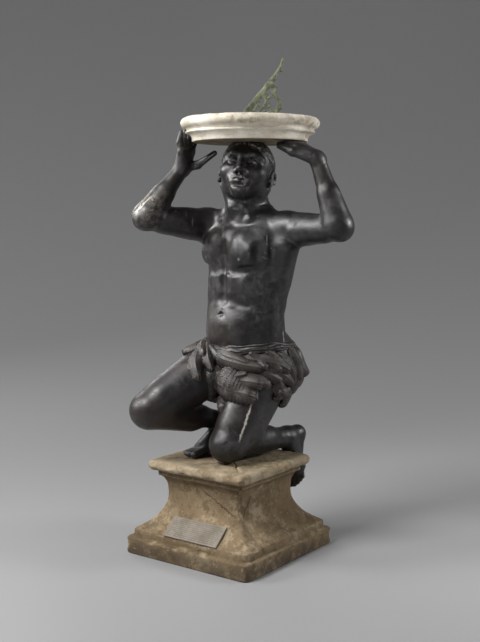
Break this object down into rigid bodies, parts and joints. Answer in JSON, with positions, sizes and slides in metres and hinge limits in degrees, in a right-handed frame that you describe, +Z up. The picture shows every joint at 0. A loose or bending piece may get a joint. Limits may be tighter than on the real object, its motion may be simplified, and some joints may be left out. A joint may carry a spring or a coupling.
{
  "type": "kneeling figure sundial on a stone plinth",
  "caption": "Kneeling cast metal figure in a feather skirt on a flared stone plinth, holding a round stone sundial with a pierced gnomon on its head.",
  "frame": {"origin": "middle of the plinth's underside, on the ground", "axes": "+Z up; the figure faces -Y, so its own left is +X; the inscription plate is on the -Y face of the plinth"},
  "size_m": [0.6699, 0.5493, 1.6178],
  "materials": {
    "plinth_stone": "weathered ochre limestone",
    "plate_slate": "dull worn plate with shallow strokes",
    "figure_metal": "near-black patinated cast metal, rubbed bright on its high places",
    "dial_stone": "off-white weathered limestone",
    "dial_bronze": "dark patinated bronze",
    "gnomon_bronze": "green patinated bronze"
  },
  "bodies": {
    "root": {"plinth": "plinth_stone", "inscription_plate": "plate_slate", "figure": "figure_metal", "dial_stone": "dial_stone", "dial_plate": "dial_bronze", "gnomon": "gnomon_bronze"}
  },
  "joints": []
}
